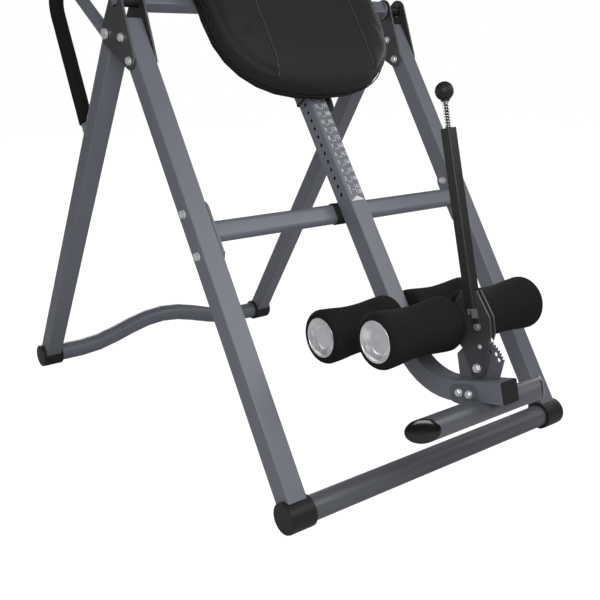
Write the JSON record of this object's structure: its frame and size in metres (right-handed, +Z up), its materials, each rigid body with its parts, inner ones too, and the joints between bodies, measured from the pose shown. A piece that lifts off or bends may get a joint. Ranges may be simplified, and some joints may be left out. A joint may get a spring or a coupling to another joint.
{
  "type": "inversion table",
  "caption": "Folding A-frame inversion table: a padded bed tilts on pivot pins, and a sliding boom ends in a foot rest and a ratchet ankle clamp with foam rollers.",
  "frame": {"origin": "on the floor, under the middle of the whole table", "axes": "+Z up, -Y towards the foot rest and the front base tube, +X to the right seen from the front"},
  "size_m": [0.7342, 1.278, 1.4174],
  "materials": {
    "frame_paint": "satin grey paint",
    "bracket_paint": "satin dark grey paint",
    "black_plastic": "moulded, low sheen",
    "black_rubber": "matte",
    "roller_foam": "fine-grained closed foam",
    "upholstery": "sewn cover over foam",
    "covered_board": "board covered with black cloth",
    "zinc_steel": "zinc plated",
    "spring_chrome": "bright",
    "lever_black": "black powder coat",
    "cap_silver": "silver metallic"
  },
  "bodies": {
    "front_frame": {"front_base_tube": "frame_paint", "front_foot_cap_left": "black_plastic", "front_foot_cap_right": "black_plastic", "front_leg_left": "frame_paint", "front_leg_right": "frame_paint", "crossbar": "frame_paint", "crossbar_bumper": "black_rubber", "hinge_plate_left_outer": "bracket_paint", "hinge_plate_left_inner": "bracket_paint", "hinge_plate_right_outer": "bracket_paint", "hinge_plate_right_inner": "bracket_paint", "pivot_bush_left": "black_plastic", "pivot_bush_right": "black_plastic", "hinge_bolt_left": "zinc_steel", "hinge_bolt_right": "zinc_steel"},
    "rear_frame": {"rear_base_tube": "frame_paint", "rear_foot_cap_left": "black_plastic", "rear_foot_cap_right": "black_plastic", "rear_leg_left": "frame_paint", "rear_leg_right": "frame_paint", "handlebar_left": "frame_paint", "handlebar_right": "frame_paint", "handlebar_grip_left": "roller_foam", "handlebar_grip_right": "roller_foam"},
    "bed": {"bed_sleeve": "frame_paint", "sleeve_collar": "black_plastic", "bed_rail_lower": "frame_paint", "bed_rail_upper": "frame_paint", "pivot_arm_left": "frame_paint", "pivot_arm_right": "frame_paint", "backrest_board": "covered_board", "backrest_cushion": "upholstery", "selector_housing": "frame_paint", "clamp_boss": "frame_paint"},
    "selector": {"selector_pin": "black_plastic"},
    "side_clamp": {"clamp_lever": "black_plastic"},
    "boom": {"boom_tube": "frame_paint", "boom_end_plug": "black_plastic", "footrest_tube": "frame_paint", "footrest_cap_left": "black_rubber", "footrest_cap_right": "black_rubber", "ratchet_plate": "bracket_paint", "rear_axle": "zinc_steel", "rear_roller_left": "roller_foam", "rear_roller_right": "roller_foam", "rear_roller_cap_left": "cap_silver", "rear_roller_cap_right": "cap_silver"},
    "ankle_clamp": {"clamp_arm": "bracket_paint", "ankle_pivot_bolt": "zinc_steel", "pawl_bolt": "zinc_steel", "front_roller_left": "roller_foam", "front_roller_right": "roller_foam", "front_roller_cap_left": "cap_silver", "front_roller_cap_right": "cap_silver", "lever_tube": "lever_black", "lever_bush": "black_plastic", "lever_spring": "spring_chrome"},
    "release": {"release_knob": "black_plastic"},
    "pawl": {"pawl": "zinc_steel"}
  },
  "joints": [
    {"name": "frame_fold", "type": "hinge", "parent": "front_frame", "child": "rear_frame", "pos_m": [0, 0.07523, 0.81925], "axis": [-1, 0, 0], "range_deg": [0, 60]},
    {"name": "bed_tilt", "type": "hinge", "parent": "front_frame", "child": "bed", "pos_m": [0, 0.02741, 0.87591], "axis": [-1, 0, 0], "range_deg": [0, 147]},
    {"name": "height_adjust", "type": "slide", "parent": "bed", "child": "boom", "axis": [0, 0.5469, 0.8372], "range_m": [-0.11172, 0.11172]},
    {"name": "selector_pull", "type": "slide", "parent": "bed", "child": "selector", "axis": [-1, 0, 0], "range_m": [0, 0.012], "stiffness_N_per_m": 400, "springref_m": -0.01},
    {"name": "clamp_turn", "type": "hinge", "parent": "bed", "child": "side_clamp", "pos_m": [0, -0.08138, 0.7094], "axis": [1, 0, 0], "range_deg": [0, 75]},
    {"name": "ankle_swing", "type": "hinge", "parent": "boom", "child": "ankle_clamp", "pos_m": [0, -0.56568, 0.23769], "axis": [1, 0, 0], "range_deg": [-6, 30]},
    {"name": "knob_press", "type": "slide", "parent": "ankle_clamp", "child": "release", "axis": [0, -0.2003, -0.9797], "range_m": [0, 0.006], "stiffness_N_per_m": 600, "springref_m": -0.006, "deforming": ["lever_spring"]},
    {"name": "pawl_turn", "type": "hinge", "parent": "ankle_clamp", "child": "pawl", "pos_m": [0, -0.56294, 0.3131], "axis": [-1, 0, 0], "range_deg": [0, 14.5]}
  ],
  "couplings": [
    {"joint": "pawl_turn", "follows": "knob_press", "rad_per_m": 40}
  ]
}
